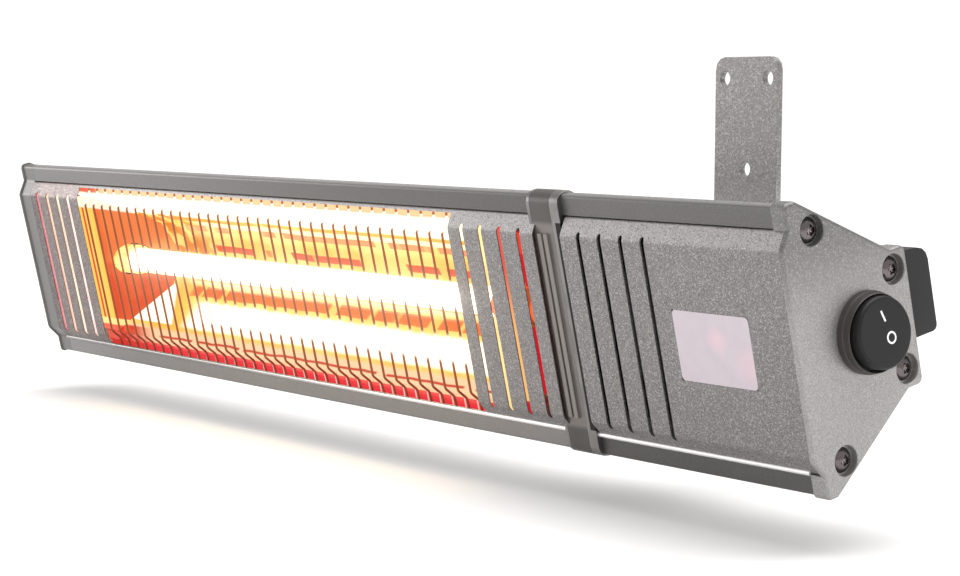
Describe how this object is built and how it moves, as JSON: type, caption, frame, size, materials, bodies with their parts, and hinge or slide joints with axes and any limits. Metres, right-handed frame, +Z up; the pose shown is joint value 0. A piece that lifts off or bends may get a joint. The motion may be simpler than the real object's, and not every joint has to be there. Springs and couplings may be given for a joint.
{
  "type": "electric bar heater",
  "caption": "Slim electric bar heater: a glowing quartz lamp behind a guarded window, a control section with display and rocker switch, and a tilting wall bracket.",
  "frame": {"origin": "on the wall, midway between the two upper screw holes of the wall plate", "axes": "+X along the heater towards its control end, -Y out of the wall into the room, +Z up"},
  "size_m": [0.6875, 0.1243, 0.1772],
  "materials": {
    "housing_paint": "sparkling textured silver-grey paint",
    "panel_paint": "sparkling textured silver-grey paint",
    "cap_paint": "satin silver-grey paint",
    "gasket": "matt",
    "dark_screw": "dark polished",
    "band": "semi-gloss",
    "flange": "satin",
    "zinc": "zinc plated",
    "bright_reflector": "bright rolled",
    "shield": "mill",
    "quartz": "clear",
    "filament": "glowing tungsten",
    "ceramic": "unglazed",
    "clip_steel": "bare spring steel",
    "lead_sleeve": "glass-fibre braid",
    "display_plastic": "clear white",
    "module_plastic": "gloss",
    "board": "solder mask",
    "component_plastic": "matt",
    "pillar_plastic": "matt",
    "block_plastic": "matt",
    "switch_plastic": "semi-gloss",
    "rocker_plastic": "semi-gloss",
    "brass": "plain",
    "wire_cover": "silicone",
    "box_plastic": "fine grain",
    "bracket_paint": "speckled silver paint",
    "pad_rubber": "matt"
  },
  "bodies": {
    "wall_bracket": {"wall_plate": "bracket_paint", "hinge_fork": "bracket_paint", "fork_rivets": "zinc", "pivot_bolt": "zinc", "pivot_nut": "zinc", "pivot_washers": "zinc"},
    "heater": {"heating_housing": "housing_paint", "control_housing": "housing_paint", "heating_panel": "panel_paint", "control_panel": "panel_paint", "left_end_cap": "cap_paint", "right_end_cap": "cap_paint", "left_gasket": "gasket", "right_gasket": "gasket", "left_cap_screws": "dark_screw", "right_cap_screws": "dark_screw", "divider_band": "band", "divider_flange_left": "flange", "divider_flange_right": "flange", "joining_studs": "zinc", "reflector": "bright_reflector", "reflector_end_left": "bright_reflector", "reflector_end_right": "bright_reflector", "heat_shield": "shield", "lamp_tube": "quartz", "lamp_filament": "filament", "lamp_base_left": "ceramic", "lamp_base_right": "ceramic", "lamp_clip_left": "clip_steel", "lamp_clip_right": "clip_steel", "lamp_lead_left": "lead_sleeve", "lamp_lead_right": "lead_sleeve", "display_window": "display_plastic", "display_module": "module_plastic", "remote_receiver": "module_plastic", "control_board": "board", "board_pillars": "pillar_plastic", "board_screws": "zinc", "relay": "component_plastic", "board_components": "component_plastic", "terminal_block": "block_plastic", "switch_bezel": "switch_plastic", "switch_body": "component_plastic", "switch_terminals": "brass", "switch_leads": "wire_cover", "rear_box": "box_plastic", "rear_box_seal": "gasket", "rear_box_screws": "zinc", "gland_body": "box_plastic", "gland_nut": "box_plastic", "tilt_bracket": "bracket_paint", "bracket_pads": "pad_rubber", "bracket_screws": "zinc", "bracket_nuts": "zinc"},
    "rocker": {"switch_rocker": "rocker_plastic", "switch_pin": "zinc"}
  },
  "joints": [
    {"name": "tilt", "type": "hinge", "parent": "wall_bracket", "child": "heater", "pos_m": [0, -0.035, -0.092], "axis": [1, 0, 0], "range_deg": [-13, 32]},
    {"name": "rocker_switch", "type": "hinge", "parent": "heater", "child": "rocker", "pos_m": [0.1551, -0.07738, -0.10179], "axis": [0, 0.9744, 0.225], "range_deg": [0, 10]}
  ]
}
